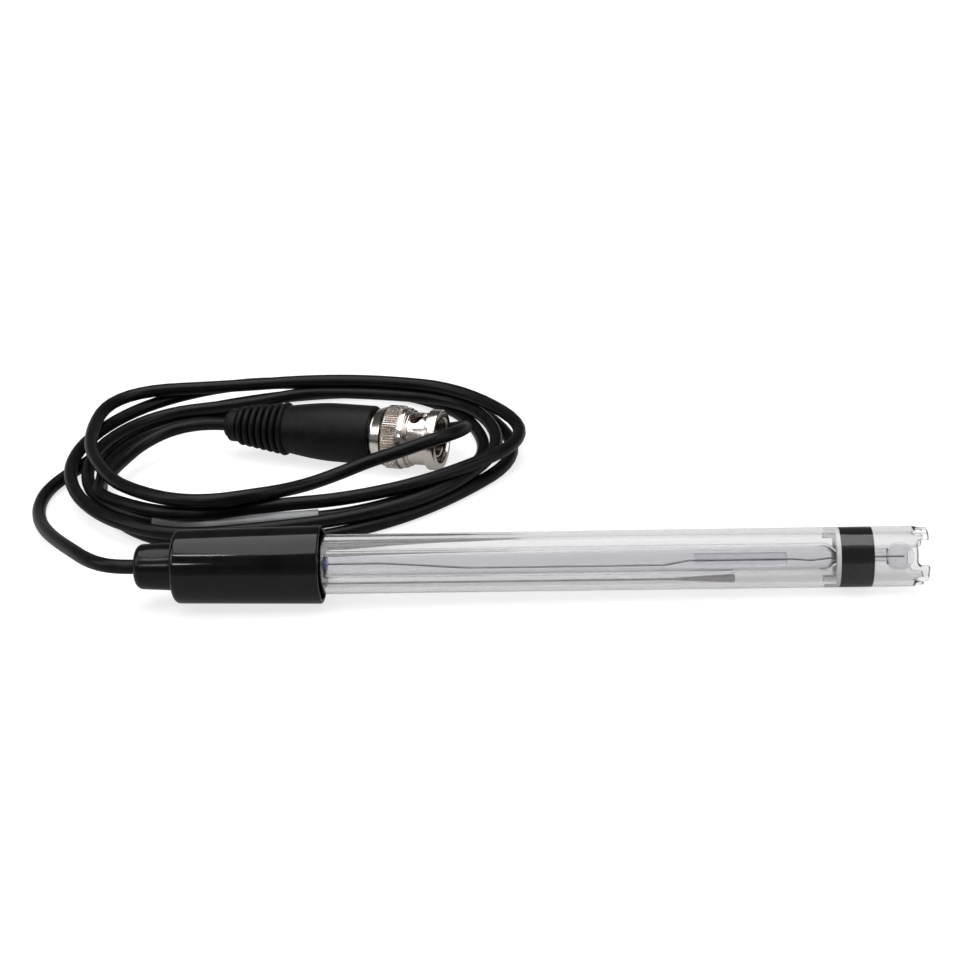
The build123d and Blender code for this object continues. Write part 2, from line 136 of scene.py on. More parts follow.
# The coil's turns: how far each lies from the coil's middle and how high, in millimetres, at twelve
# directions that start at the left and go round by the back
COIL_MIDDLE = (-56.0, 62.0)
DIRECTIONS = 12
LYING_HEIGHT = 1.52 * MM
TURNS = [
    ([50.6, 48.6, 39.4, 38.6, 42.5, 44.0, 44.0, 40.2, 36.0, 34.2, 38.9, 46.0],
     [1.55, 1.55, 1.55, 1.55, 1.55, 1.55, 1.55, 3.6, 3.7, 3.7, 3.4, 4.3]),
    ([46.4, 41.6, 31.6, 32.4, 35.2, 44.2, 47.3, 43.2, 38.8, 38.3, 45.2, 49.4],
     [4.9, 4.5, 4.5, 4.5, 4.5, 4.6, 4.5, 4.5, 4.3, 4.2, 4.3, 4.4]),
    ([51.2, 49.0, 44.2, 39.0, 42.1, 47.6, 50.7, 43.2, 39.8, 40.0, 43.8, 46.7],
     [4.5, 4.6, 4.5, 4.5, 4.4, 2.6, 1.55, 1.55, 1.55, 1.55, 1.55, 1.55]),
]
LAST_TURN = (
    [48.4, 50.9, 36.9, 33.5, 36.4, 44.8, 52.8, 42.0, 34.6, 32.2, 39.8, 46.6],
    [8.4, 8.2, 7.4, 7.3, 7.3, 7.4, 6.6, 7.0, 6.8, 6.4, 6.4, 5.4],
)

# The label sleeve's two ends on the first turn, and its radii
LABEL_ENDS = ((-82.8, 31.2, 4.8), (-45.2, 29.4, 4.2))
LABEL_RADIUS = 1.85
LABEL_BORE = 1.55

# The camera, fitted to the photograph's view
CAMERA_LENS = 71.81
CAMERA_POINT = (0.01756, -0.33596, 0.19134)
CAMERA_YAW = math.radians(-4.383)
CAMERA_PITCH = math.radians(26.173)
CAMERA_ROLL = math.radians(-3.722)

# The lamps: place, what each points at, width and depth in metres, and power in watts
LAMPS = {
    "Overhead softbox": ((-0.05, 0.08, 0.75), (-0.02, 0.03, 0), 0.80, 0.84, 7.5),
    "Left softbox": ((-0.65, -0.15, 0.45), (-0.03, 0.03, 0), 0.40, 0.45, 1.6),
    "Right softbox": ((0.65, -0.15, 0.40), (0, 0.03, 0), 0.40, 0.45, 1.3),
    "Cap strip": ((-0.33, -0.37, 0.75), (-0.06, 0, 0), 0.24, 0.02, 0.7),
    "Nose strip": ((-0.33, -0.60, 0.44), (-0.08, 0, 0), 0.12, 0.02, 0.4),
}

# The materials by slot, filled in by main
FINISHES = {}


def along(seat, station):
    """A point on an axis, in millimetres in the row frame."""
    return tuple(seat @ Vector((station * MM, 0, 0)) / MM)


# Node trees
class Wire:
    """An output socket on which plain arithmetic adds Math nodes."""

    def __init__(self, graph, socket):
        self.graph = graph
        self.socket = socket

    def maths(self, operation, first, second):
        return self.graph.add("ShaderNodeMath", {"operation": operation}, {0: first, 1: second})

    def __add__(self, other):
        return self.maths("ADD", self, other)

    def __sub__(self, other):
        return self.maths("SUBTRACT", self, other)

    def __rsub__(self, other):
        return self.maths("SUBTRACT", other, self)

    def __mul__(self, other):
        return self.maths("MULTIPLY", self, other)

    def __truediv__(self, other):
        return self.maths("DIVIDE", self, other)

    __radd__ = __add__
    __rmul__ = __mul__


class Graph:
    """A node tree and the one method that adds a node to it."""

    def __init__(self, tree):
        self.tree = tree

    def add(self, kind, settings=None, values=None, output=0):
        node = self.tree.nodes.new(kind)
        for key, value in (settings or {}).items():
            setattr(node, key, value)
        for key, value in (values or {}).items():
            if isinstance(value, Wire):
                self.tree.links.new(value.socket, node.inputs[key])
            else:
                node.inputs[key].default_value = value
        return Wire(self, node.outputs[output])


class Finish(Graph):
    """One material and the nodes in it."""

    def __init__(self, name, **shader):
        self.material = bpy.data.materials.new(name)
        self.material.use_nodes = True
        super().__init__(self.material.node_tree)
        self.shader = self.tree.nodes["Principled BSDF"]
        self.output = self.tree.nodes["Material Output"]
        for socket, value in shader.items():
            self.shader.inputs[socket.replace("_", " ")].default_value = value

    def place(self, scale=(1, 1, 1), turn=(0, 0, 0), shift=(0, 0, 0)):
        """Object coordinates in metres, shifted to a piece's own axis, turned and scaled."""
        coordinates = self.add("ShaderNodeTexCoord", output="Object")
        moved = self.add("ShaderNodeMapping", {"vector_type": "TEXTURE"},
                         {"Vector": coordinates, "Location": shift, "Rotation": turn})
        return self.add("ShaderNodeMapping", {"vector_type": "POINT"}, {"Vector": moved, "Scale": scale})

    def noise(self, size, detail=3.0, roughness=0.55, where=None):
        """Noise from 0 to 1 whose features are about size metres across."""
        return self.add("ShaderNodeTexNoise", None, {
            "Vector": where or self.place(), "Scale": 1 / size, "Detail": detail, "Roughness": roughness,
        })

    def ramp(self, value, stops):
        """A grey ramp with a stop for each (place, shade)."""
        wire = self.add("ShaderNodeValToRGB", None, {"Fac": value})
        elements = wire.socket.node.color_ramp.elements
        for index, (place, shade) in enumerate(stops):
            stop = elements[index] if index < 2 else elements.new(place)
            stop.position = place
            stop.color = (shade, shade, shade, 1)
        return wire

    def mix(self, amount, first, second):
        return self.add("ShaderNodeMix", {"data_type": "RGBA"},
                        {0: amount, 6: (*first, 1), 7: (*second, 1)}, output=2)

    def feed(self, socket, wire):
        self.tree.links.new(wire.socket, self.shader.inputs[socket])

    def bump(self, height, distance, strength=1.0):
        self.feed("Normal", self.add("ShaderNodeBump", None, {
            "Height": height, "Distance": distance, "Strength": strength,
        }, output="Normal"))
        return self


class Growth(Graph):
    """A Geometry Nodes tree with named inputs, which is grown into a plain mesh."""

    def __init__(self, name, sizes):
        super().__init__(bpy.data.node_groups.new(name, "GeometryNodeTree"))
        for label, value in sizes.items():
            kind = "NodeSocketInt" if isinstance(value, int) else "NodeSocketFloat"
            self.tree.interface.new_socket(name=label, in_out="INPUT", socket_type=kind)
        self.tree.interface.new_socket(name="Finish", in_out="INPUT", socket_type="NodeSocketMaterial")
        self.tree.interface.new_socket(name="Geometry", in_out="OUTPUT", socket_type="NodeSocketGeometry")
        self.sizes = sizes
        self.inputs = self.tree.nodes.new("NodeGroupInput")

    def size(self, label):
        return Wire(self, self.inputs.outputs[label])

    def grow(self, geometry, material):
        """Realize the instances, give them their material and return them as a mesh."""
        plain = self.add("GeometryNodeRealizeInstances", None, {"Geometry": geometry})
        painted = self.add("GeometryNodeSetMaterial", None, {
            "Geometry": plain, "Material": self.size("Finish"),
        })
        end = self.tree.nodes.new("NodeGroupOutput")
        self.tree.links.new(painted.socket, end.inputs[0])
        carrier = bpy.data.objects.new(self.tree.name, bpy.data.meshes.new(self.tree.name))
        bpy.context.scene.collection.objects.link(carrier)
        modifier = carrier.modifiers.new("Growth", "NODES")
        modifier.node_group = self.tree
        for item in self.tree.interface.items_tree:
            if item.in_out == "INPUT":
                modifier[item.identifier] = self.sizes.get(item.name, material)
        grown = carrier.evaluated_get(bpy.context.evaluated_depsgraph_get())
        mesh = bpy.data.meshes.new_from_object(grown)
        carrier.modifiers.remove(modifier)
        bpy.data.objects.remove(carrier)
        return mesh


def moulded(name, colour, worn, roughness, spread, grain, depth, **shader):
    """A moulded plastic or rubber: slight changes of colour and gloss, and a fine grain.

    The grain's size and depth are in metres, and spread is how far the roughness varies.
    """
    finish = Finish(name, **shader)
    broad = finish.noise(6 * grain, 2.0)
    fine = finish.noise(grain, 5.0, 0.6)
    finish.feed("Base Color", finish.mix(finish.ramp(broad, [(0.35, 0.0), (0.75, 1.0)]), colour, worn))
    finish.feed("Roughness", roughness - spread / 2 + broad * spread)
    return finish.bump(fine, depth)


def plated(name, colour, tarnished, roughness, seat):
    """A turned and plated metal: rings left by the lathe about the seat's axis and light handling marks."""
    turned_pitch = 0.12 * MM
    finish = Finish(name, Metallic=1.0)
    turn = seat.to_euler()
    own = finish.place(shift=tuple(seat.translation), turn=tuple(turn))
    rings = finish.add("ShaderNodeTexWave", {"wave_type": "BANDS", "bands_direction": "X"}, {
        "Vector": own, "Scale": 1 / (20 * turned_pitch), "Distortion": 1.5, "Detail": 2.0,
        "Detail Scale": 40.0,
    }, output=1)
    marks = finish.noise(2.2 * MM, 4.0, 0.6)
    finish.feed("Base Color", finish.mix(finish.ramp(marks, [(0.4, 0.0), (0.8, 1.0)]), colour, tarnished))
    finish.feed("Roughness", roughness + marks * 0.12)
    return finish.bump(rings * 0.6 + marks * 0.4, 0.004 * MM)


def clear(name, colour, ior):
    """A clear plastic or glass.

    Its index is lower than the real one, because the real shaft is full of liquid, which hides the inner
    walls, and here it holds air.
    """
    return Finish(name, Base_Color=(*colour, 1), Transmission_Weight=1.0, IOR=ior, Roughness=0.0)


def make_finishes():
    """All the materials by name."""
    rows = {
        "cap_plastic": ("Glossy black cap plastic", (0.004, 0.004, 0.0045), (0.008, 0.008, 0.009),
                        0.10, 0.05, 0.9 * MM, 0.0015 * MM, {"Specular_IOR_Level": 0.24}),
        "black_rubber": ("Black rubber", (0.003, 0.003, 0.003), (0.006, 0.006, 0.006),
                         0.20, 0.10, 0.35 * MM, 0.006 * MM, {"Specular_IOR_Level": 0.2}),
        "boot_plastic": ("Moulded boot plastic", (0.004, 0.004, 0.0042), (0.008, 0.008, 0.008),
                         0.46, 0.12, 0.30 * MM, 0.008 * MM, {"Specular_IOR_Level": 0.13}),
        "cable_jacket": ("Cable jacket", (0.003, 0.003, 0.0032), (0.006, 0.006, 0.006),
                         0.34, 0.12, 0.5 * MM, 0.004 * MM, {"Specular_IOR_Level": 0.15}),
        "cable_core": ("Cable core", (0.75, 0.74, 0.70), (0.62, 0.61, 0.57),
                       0.45, 0.1, 0.4 * MM, 0.004 * MM, {}),
        "potting_resin": ("Potting resin", (0.02, 0.02, 0.02), (0.04, 0.038, 0.035),
                          0.22, 0.1, 0.8 * MM, 0.01 * MM, {}),
        "blue_sleeving": ("Blue sleeving", (0.03, 0.14, 0.36), (0.05, 0.2, 0.45),
                          0.35, 0.1, 0.5 * MM, 0.004 * MM, {}),
        "coated_silver": ("Coated silver", (0.34, 0.33, 0.325), (0.50, 0.49, 0.48),
                          0.65, 0.2, 0.25 * MM, 0.03 * MM, {}),
        "keeper_plastic": ("Keeper plastic", (0.72, 0.72, 0.71), (0.64, 0.64, 0.63),
                           0.4, 0.1, 0.4 * MM, 0.004 * MM, {}),
        "porous_ceramic": ("Porous ceramic", (0.78, 0.76, 0.70), (0.6, 0.58, 0.53),
                           0.85, 0.1, 0.12 * MM, 0.02 * MM, {}),
        "white_insulator": ("White insulator", (0.80, 0.80, 0.77), (0.70, 0.70, 0.67),
                            0.42, 0.1, 0.6 * MM, 0.003 * MM, {"Subsurface_Weight": 0.1}),
        # The gasket's dark red is its own colour, made darker as painted shade for the inside of the bayonet
        # slots it shows through.
        "silicone_gasket": ("Silicone gasket", (0.10, 0.02, 0.014), (0.07, 0.016, 0.012),
                            0.5, 0.1, 0.3 * MM, 0.004 * MM, {}),
        # The label sleeve's grey is partly its milky film and partly painted sheen: it stands in for the
        # overhead light's reflection on a glossy clear sleeve over the black cable.
        "clear_label": ("Milky label sleeve", (0.22, 0.225, 0.23), (0.15, 0.155, 0.16),
                        0.26, 0.1, 1.2 * MM, 0.004 * MM, {"Alpha": 0.85}),
    }
    finishes = {slot: moulded(*row[:-1], **row[-1]) for slot, row in rows.items()}
    nickel, nickel_marked = (0.72, 0.665, 0.615), (0.58, 0.54, 0.50)
    gold, gold_marked = (0.83, 0.60, 0.26), (0.74, 0.50, 0.2)
    steel, steel_marked = (0.45, 0.44, 0.43), (0.36, 0.35, 0.34)
    silver, silver_marked = (0.30, 0.29, 0.29), (0.18, 0.18, 0.18)
    finishes["nickel_plate"] = plated("Nickel plate", nickel, nickel_marked, 0.12, PLUG_SEAT)
    finishes["gold_plate"] = plated("Gold plate", gold, gold_marked, 0.16, PLUG_SEAT)
    finishes["spring_steel"] = plated("Spring steel", steel, steel_marked, 0.28, PLUG_SEAT)
    finishes["silver_wire"] = plated("Silver wire", silver, silver_marked, 0.3, ELECTRODE_SEAT)
    finishes["clear_plastic"] = clear("Clear shaft plastic", (0.745, 0.74, 0.745), 1.40)
    finishes["blown_glass"] = clear("Blown glass", (0.91, 0.912, 0.93), 1.22)
    return {slot: finish.material for slot, finish in finishes.items()}


# Meshes
def settle(name, mesh, seat, slot, body="root", replaced=(), sharp=SHARP_ANGLE):
    """Put a mesh built on its own axis into the row frame and give it its finish and its body."""
    mesh.transform(seat)
    mesh.shade_smooth()
    mesh.set_sharp_from_angle(angle=sharp)
    piece = bpy.data.objects.new(name, mesh)
    bpy.context.scene.collection.objects.link(piece)
    mesh.materials.clear()
    mesh.materials.append(FINISHES[slot])
    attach(piece, body)
    if replaced:
        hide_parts(*replaced)
    return piece


def lathe(name, outline, segments=SEGMENTS):
    """A mesh turned about X from a closed outline of (station, radius) points in millimetres."""
    form = bmesh.new()
    points = [form.verts.new((station * MM, radius * MM, 0)) for station, radius in outline]
    edges = [form.edges.new((points[i - 1], points[i])) for i in range(len(points))]
    bmesh.ops.spin(form, geom=points + edges, axis=(1, 0, 0), cent=(0, 0, 0), angle=math.tau,
                   steps=segments, use_merge=True)
    bmesh.ops.remove_doubles(form, verts=form.verts, dist=1e-7)
    bmesh.ops.dissolve_degenerate(form, edges=form.edges, dist=1e-7)
    bmesh.ops.recalc_face_normals(form, faces=form.faces)
    mesh = bpy.data.meshes.new(name)
    form.to_mesh(mesh)
    form.free()
    return mesh


def arc(centre, radius, start, end, steps=16):
    """Points on an arc in the (station, radius) plane, by angles in degrees."""
    return [
        (centre[0] + radius * math.cos(math.radians(start + (end - start) * i / steps)),
         centre[1] + radius * math.sin(math.radians(start + (end - start) * i / steps)))
        for i in range(steps + 1)
    ]


def crown_columns(slot_centres, half_width):
    """Columns round the guard: (outer angle, inner angle, end station, normal across, normal along)."""
    root_round, tip_round, seam = 0.8, 0.45, 0.004
    root_steps, tip_steps, prong_steps = 8, 6, 12
    outline = []
    floor = [(v, SLOT_ROOT, 0.0, 1.0) for v in (-1.0, -0.5, 0.0, 0.5, 1.0)]
    right = []
    for step in range(root_steps + 1):
        turn = math.radians(-90 + 90 * step / root_steps)
        across = half_width - root_round + root_round * math.cos(turn)
        station = SLOT_ROOT + root_round + root_round * math.sin(turn)
        right.append((across, station, -math.cos(turn), -math.sin(turn)))
    for step in range(tip_steps + 1):
        turn = math.radians(180 - 90 * step / tip_steps)
        across = half_width + seam + tip_round + tip_round * math.cos(turn)
        station = TIP - tip_round + tip_round * math.sin(turn)
        right.append((across, station, math.cos(turn), math.sin(turn)))
    left = [(-v, s, -nv, ns) for v, s, nv, ns in reversed(right)]
    slot = left + floor + right

    def angles(v):
        return math.asin(v / TUBE_RADIUS), math.asin(v / BONDED_BORE)

    edge = angles(slot[-1][0])
    count = len(slot_centres)
    for index, centre in enumerate(slot_centres):
        for v, s, nv, ns in slot:
            outer, inner = angles(v)
            outline.append((centre + outer, centre + inner, s, nv, ns))
        following = slot_centres[(index + 1) % count] + (math.tau if index == count - 1 else 0)
        starts = [centre + angle for angle in edge]
        ends = [following - angle for angle in edge]
        for step in range(1, prong_steps):
            share = step / prong_steps
            outer, inner = (a + share * (b - a) for a, b in zip(starts, ends))
            outline.append((outer, inner, TIP, 0.0, 1.0))
    return outline


def crown_tube(name):
    """The clear shaft: a tube whose far end is cut into a castellated guard with rounded lips.

    Its bore closes on the seal, the keeper and the stopper, as their glue does, so that no air shows there.
    """
    lip, seat_chamfer, waist, below_slots, wall_steps = 0.28, (0.1, 0.2), 90.0, 1.2, 7
    settings = bpy.context.scene.electrode_shaft
    slots = [settings.crown_turn + math.radians(90 * k + 90) for k in range(4)]
    columns = crown_columns(slots, settings.slot_width / 2 / MM)
    form = bmesh.new()
    rings = []

    def ring(place):
        rings.append([form.verts.new(place(column)) for column in columns])

    def at(angle, station, radius):
        return Vector((station, radius * math.cos(angle), radius * math.sin(angle))) * MM

    outer, inner = TUBE_RADIUS, BONDED_BORE
    for station, radius in (
        (TUBE_START, SEAT_RADIUS), (SEAT_END - seat_chamfer[0], SEAT_RADIUS), (SEAT_END, outer),
        (SEAT_END + seat_chamfer[1], outer), (waist, outer), (SLOT_ROOT - below_slots, outer),
    ):
        ring(lambda c, s=station, r=radius: at(c[0], s, r))
    for step in range(wall_steps + 1):
        share = step / wall_steps
        inset = lip * (1 - math.sin(math.pi * share))
        radius = outer + (inner - outer) * share
        ring(lambda c, i=inset, r=radius, t=share: at(
            c[0] + (c[1] - c[0]) * t - i * c[3] / r, c[2] - i * c[4], r))
    for station in (SLOT_ROOT - below_slots, waist, TUBE_START):
        ring(lambda c, s=station: at(c[1], s, inner))
    rings.append(rings[0])
    for low, high in zip(rings, rings[1:]):
        for i in range(len(columns)):
            j = (i + 1) % len(columns)
            form.faces.new((low[i], low[j], high[j], high[i]))
    bmesh.ops.remove_doubles(form, verts=form.verts, dist=2e-7)
    bmesh.ops.dissolve_degenerate(form, edges=form.edges, dist=2e-7)
    bmesh.ops.recalc_face_normals(form, faces=form.faces)
    mesh = bpy.data.meshes.new(name)
    form.to_mesh(mesh)
    form.free()
    return mesh


def stem_outline():
    """The inner glass in one line: stem, shoulder, neck and bulb, outside and inside."""
    stem_bore, neck, neck_bore, bulb_skin, shoulder = 2.2, 1.6, 0.8, 0.4, 2.5
    taper = NECK_START - shoulder
    bulb_bore = BULB_RADIUS - bulb_skin
    outer_turn = math.degrees(math.asin(neck / BULB_RADIUS))
    inner_turn = math.degrees(math.asin(neck_bore / bulb_bore))
    points = [(STEM_START, STEM_RADIUS), (taper, STEM_RADIUS), (taper + 0.9, 2.62)]
    points += [(NECK_START - 0.5, 1.75), (NECK_START, neck)]
    points += arc((BULB_CENTRE, 0), BULB_RADIUS, 180 - outer_turn, 0, 40)
    points += arc((BULB_CENTRE, 0), bulb_bore, 0, 180 - inner_turn, 36)
    points += [(NECK_START, neck_bore), (NECK_START - 0.6, 0.95), (taper + 0.7, 1.95)]
    points += [(taper, stem_bore), (STEM_START, stem_bore)]
    return points


def reference_outline():
    """The reference element from its own start: a rod of coated silver that swells towards its free end."""
    core = 0.05
    return [(0, core), (0, 0.2), (0.6, 0.28), (4.5, 0.48), (9.0, 0.74), (REFERENCE_LENGTH - 0.6, 0.88),
            (REFERENCE_LENGTH - 0.15, 0.78), (REFERENCE_LENGTH, 0.5), (REFERENCE_LENGTH, core)]


def cap_outline():
    """The cap: a rounded end, a barrel that widens a little, a rounded rim and a recess round the shaft."""
    hole, bore, wall = 2.85, 5.75, 2.0
    end_round, rim_round, lip_round, corner_round = 1.2, 0.45, 0.15, 0.4
    slope = math.degrees(math.atan2(CAP_MOUTH_RADIUS - CAP_END_RADIUS, MOUTH - RELIEF))
    points = [(RELIEF, hole), (RELIEF, CAP_END_RADIUS - end_round - 0.1)]
    points += arc((RELIEF + end_round, CAP_END_RADIUS - end_round), end_round, 180, 90 + slope, 14)[1:]
    points += arc((MOUTH - rim_round, CAP_MOUTH_RADIUS - rim_round), rim_round, 90 + slope, 0, 8)
    points += arc((MOUTH - lip_round, RECESS_RADIUS + lip_round), lip_round, 360, 270, 4)
    floor = MOUTH - RECESS_DEPTH
    points += arc((floor + corner_round, RECESS_RADIUS - corner_round), corner_round, 90, 180, 5)
    points += [(floor, bore), (TUBE_START - 0.5, bore), (TUBE_START - 0.5, hole + wall)]
    points += [(RELIEF + wall, hole + wall), (RELIEF + wall, hole)]
    return points


def relief_outline():
    """The strain relief: a soft rounded nose that flares gently into the cap."""
    hole = CABLE_RADIUS + 0.06
    points = [(0.35, hole)] + arc((0.35, hole + 0.35), 0.35, 270, 180, 5)[1:]
    points += arc((1.6, 3.0), 1.6, 180, 98, 14)
    points += [(3.2, 4.68), (5.6, 4.78), (RELIEF - 0.5, 4.90), (RELIEF, 4.97), (RELIEF, hole)]
    return points


def boot_outline():
    """The boot without its ribs: tail collar, tapering root, swelling belly and a square front edge."""
    hole, chamber, chamber_start = CABLE_RADIUS + 0.06, 2.65, 23.55
    ribs_end, belly, ribs_end_radius, swell, belly_steps = 15.5, 28.0, 5.5, 1.3, 16
    points = [(0.0, hole), (0.0, 2.3)] + arc((0.5, 2.4), 0.5, 180, 90, 4)[1:]
    points += [(1.0, 3.1)] + arc((1.45, 3.4), 0.45, 180, 90, 4)[1:] + [(3.1, 3.85), (3.3, 3.3)]
    points += [(9.0, 3.75), (ribs_end - 0.3, 4.4), (ribs_end, ribs_end_radius)]
    for step in range(1, belly_steps + 1):
        share = step / belly_steps
        rise = swell * math.sin(math.pi / 2 * share)
        points.append((ribs_end + (belly - ribs_end) * share, ribs_end_radius + rise))
    points += arc((BOOT_LENGTH - 0.5, 6.3), 0.5, 90, 0, 6)
    points += [(BOOT_LENGTH, 5.9), (BOOT_LENGTH - 0.6, 5.7), (BOOT_LENGTH - 0.6, chamber)]
    points += [(chamber_start, chamber), (chamber_start, hole)]
    return points


def boot_ribs():
    """The boot's ribs: rounded rings whose size grows towards the belly."""
    ribs = Growth("Boot ribs", {"Ribs": 7, "Pitch": 1.77 * MM, "First station": 4.3 * MM,
                                "First radius": 3.95 * MM, "Growth": 0.23 * MM, "Thickness": 0.66 * MM})
    middle = ribs.size("First radius")
    circle = ribs.add("GeometryNodeCurvePrimitiveCircle", None, {"Resolution": 96, "Radius": middle})
    section = ribs.add("GeometryNodeCurvePrimitiveCircle", None, {
        "Resolution": 14, "Radius": ribs.size("Thickness"),
    })
    ring = ribs.add("GeometryNodeCurveToMesh", None, {0: circle, 1: section})
    smooth = ribs.add("GeometryNodeSetShadeSmooth", None, {0: ring})
    step = ribs.add("ShaderNodeCombineXYZ", None, {"X": ribs.size("Pitch")})
    start = ribs.add("ShaderNodeCombineXYZ", None, {"X": ribs.size("First station")})
    line = ribs.add("GeometryNodeMeshLine", None, {
        "Count": ribs.size("Ribs"), "Start Location": start, "Offset": step,
    })
    index = ribs.add("GeometryNodeInputIndex")
    across = index * ribs.size("Growth") / middle + 1.0
    scale = ribs.add("ShaderNodeCombineXYZ", None, {"X": across, "Y": across, "Z": 1.0})
    placed = ribs.add("GeometryNodeInstanceOnPoints", None, {
        "Points": line, "Instance": smooth, "Rotation": (0, math.radians(90), 0), "Scale": scale,
    })
    return ribs.grow(placed, FINISHES["boot_plastic"])


def knurl_teeth():
    """The coupling sleeve's knurl: fine straight teeth round its rear band."""
    knurl = Growth("Coupling knurl", {"Teeth": 76, "Band radius": 7.10 * MM, "Tooth radius": 0.19 * MM,
                                      "Start": (SLEEVE_REAR + 0.25) * MM,
                                      "Length": (KNURL_LENGTH - 0.5) * MM})
    end = knurl.add("ShaderNodeCombineXYZ", None, {"X": knurl.size("Start") + knurl.size("Length")})
    start = knurl.add("ShaderNodeCombineXYZ", None, {"X": knurl.size("Start")})
    spine = knurl.add("GeometryNodeCurvePrimitiveLine", None, {"Start": start, "End": end})
    section = knurl.add("GeometryNodeCurvePrimitiveCircle", None, {
        "Resolution": 6, "Radius": knurl.size("Tooth radius"),
    })
    tooth = knurl.add("GeometryNodeCurveToMesh", None, {0: spine, 1: section, "Fill Caps": True})
    band = knurl.add("GeometryNodeMeshCircle", None, {
        "Vertices": knurl.size("Teeth"), "Radius": knurl.size("Band radius"),
    })
    upright = knurl.add("GeometryNodeTransform", None, {
        "Geometry": band, "Rotation": (0, math.radians(90), 0),
    })
    placed = knurl.add("GeometryNodeInstanceOnPoints", None, {"Points": upright, "Instance": tooth})
    return knurl.grow(placed, FINISHES["nickel_plate"])


def sleeve_outline():
    """The coupling sleeve without its knurl and slots, station by station from its rear flange."""
    bore, flange_bore, flange, base, first_collar = 5.0, 4.35, 2.0, 6.5, 6.95
    knurl_end = SLEEVE_REAR + KNURL_LENGTH
    neck_end = knurl_end + COLLARS_LENGTH + NECK_LENGTH
    front = neck_end + FRONT_RING_LENGTH
    points = [(SLEEVE_REAR, flange_bore), (SLEEVE_REAR, base - 0.2), (SLEEVE_REAR + 0.2, base)]
    points += [(knurl_end - 0.2, base), (knurl_end, base + 0.25), (knurl_end + 0.15, base + 0.25)]
    points += [(knurl_end + 0.15, first_collar)]
    points += arc((knurl_end + 1.05, first_collar - 0.35), 0.35, 90, 0, 5)
    points += [(knurl_end + 1.4, NECK_RADIUS + 0.25)]
    points += arc((knurl_end + 2.0, NECK_RADIUS + 0.25), 0.25, 90, 0, 4) + [(knurl_end + 2.25, NECK_RADIUS)]
    points += arc((neck_end - 0.2, NECK_RADIUS + 0.2), 0.2, 270, 360, 4)
    points += [(neck_end, FRONT_RING_RADIUS - 0.3)]
    points += arc((neck_end + 0.3, FRONT_RING_RADIUS - 0.3), 0.3, 180, 90, 4)
    points += arc((front - 0.4, FRONT_RING_RADIUS - 0.4), 0.4, 90, 0, 6)
    points += [(front, bore + 0.35), (front - 0.35, bore)]
    points += [(SLEEVE_REAR + flange, bore), (SLEEVE_REAR + flange, flange_bore)]
    return points


def bayonet_cutter(side):
    """The form cut out of the sleeve's neck for one stud: a cam slot with round ends."""
    form = bmesh.new()
    reach, width, ramp, inside_wall, outside_wall = 3.2, 2.6, math.radians(64), 4.0, 9.0
    middle = SLEEVE_REAR + KNURL_LENGTH + COLLARS_LENGTH + 1.5
    corners = arc((reach / 2, 0), width / 2, -90, 90, 12) + arc((-reach / 2, 0), width / 2, 90, 270, 12)
    rings = []
    for depth in (inside_wall, outside_wall):
        loop = []
        for along_slot, across_slot in corners:
            x = along_slot * math.cos(ramp) - across_slot * math.sin(ramp)
            v = along_slot * math.sin(ramp) + across_slot * math.cos(ramp)
            loop.append(form.verts.new(Vector((middle + x, -depth, v)) * MM))
        rings.append(loop)
    form.faces.new(rings[0])
    form.faces.new(rings[1])
    for i in range(len(corners)):
        j = (i + 1) % len(corners)
        form.faces.new((rings[0][i], rings[0][j], rings[1][j], rings[1][i]))
    bmesh.ops.recalc_face_normals(form, faces=form.faces)
    bmesh.ops.rotate(form, verts=form.verts, cent=(0, 0, 0), matrix=Matrix.Rotation(side, 3, "X"))
    mesh = bpy.data.meshes.new("bayonet_cutter")
    form.to_mesh(mesh)
    form.free()
    return mesh


def cut_away(mesh, cutters):
    """A mesh less some cutters."""
    body = bpy.data.objects.new("body", mesh)
    bpy.context.scene.collection.objects.link(body)
    tools = []
    for cutter in cutters:
        tool = bpy.data.objects.new("cutter", cutter)
        bpy.context.scene.collection.objects.link(tool)
        modifier = body.modifiers.new("Cut", "BOOLEAN")
        modifier.operation = "DIFFERENCE"
        modifier.solver = "EXACT"
        modifier.object = tool
        tools.append(tool)
    cut = bpy.data.meshes.new_from_object(body.evaluated_get(bpy.context.evaluated_depsgraph_get()))
    for thing in (body, *tools):
        bpy.data.objects.remove(thing)
    return cut


# Cable
def turn_points(turn):
    """The points that one turn of the coil passes, in metres."""
    reach, height = turn
    step = math.tau / DIRECTIONS
    return [
        Vector((COIL_MIDDLE[0] - reach[i] * math.cos(i * step),
                COIL_MIDDLE[1] + reach[i] * math.sin(i * step), height[i])) * MM
        for i in range(DIRECTIONS)
    ]


def pressed_out(points):
    """Control points whose smooth curve runs through the given points, with the two ends left alone.

    None lies lower than the middle of a cable that rests on the floor.
    """
    control = list(points)
    for _ in range(4):
        missed = [
            points[i] - (control[i - 1] + control[i] * 6 + control[i + 1]) / 8
            for i in range(1, len(points) - 1)
        ]
        control = [control[0]] + [c + m for c, m in zip(control[1:-1], missed)] + [control[-1]]
    for point in control:
        point.z = max(point.z, LYING_HEIGHT)
    return control


def cable_points():
    """The whole route in metres: the lead, the turns, the crossing, the last turn and the tail."""
    coil = turn_points(TURNS[0])[1:]
    for turn in TURNS[1:]:
        coil += turn_points(turn)
    route = [Vector(along(ELECTRODE_SEAT, 0)) * MM, Vector(along(ELECTRODE_SEAT, -LEAD_STRAIGHT)) * MM]
    route += [Vector(p) * MM for p in LEAD_POINTS]
    route += pressed_out(coil)
    route += [Vector(p) * MM for p in BEHIND_THE_BOOT + CROSSING_POINTS + OVER_THE_COIL]
    route += pressed_out(turn_points(LAST_TURN))
    route += [Vector(p) * MM for p in TAIL_POINTS]
    route += [Vector(along(PLUG_SEAT, -TAIL_STRAIGHT)) * MM, Vector(along(PLUG_SEAT, 0)) * MM]
    return route


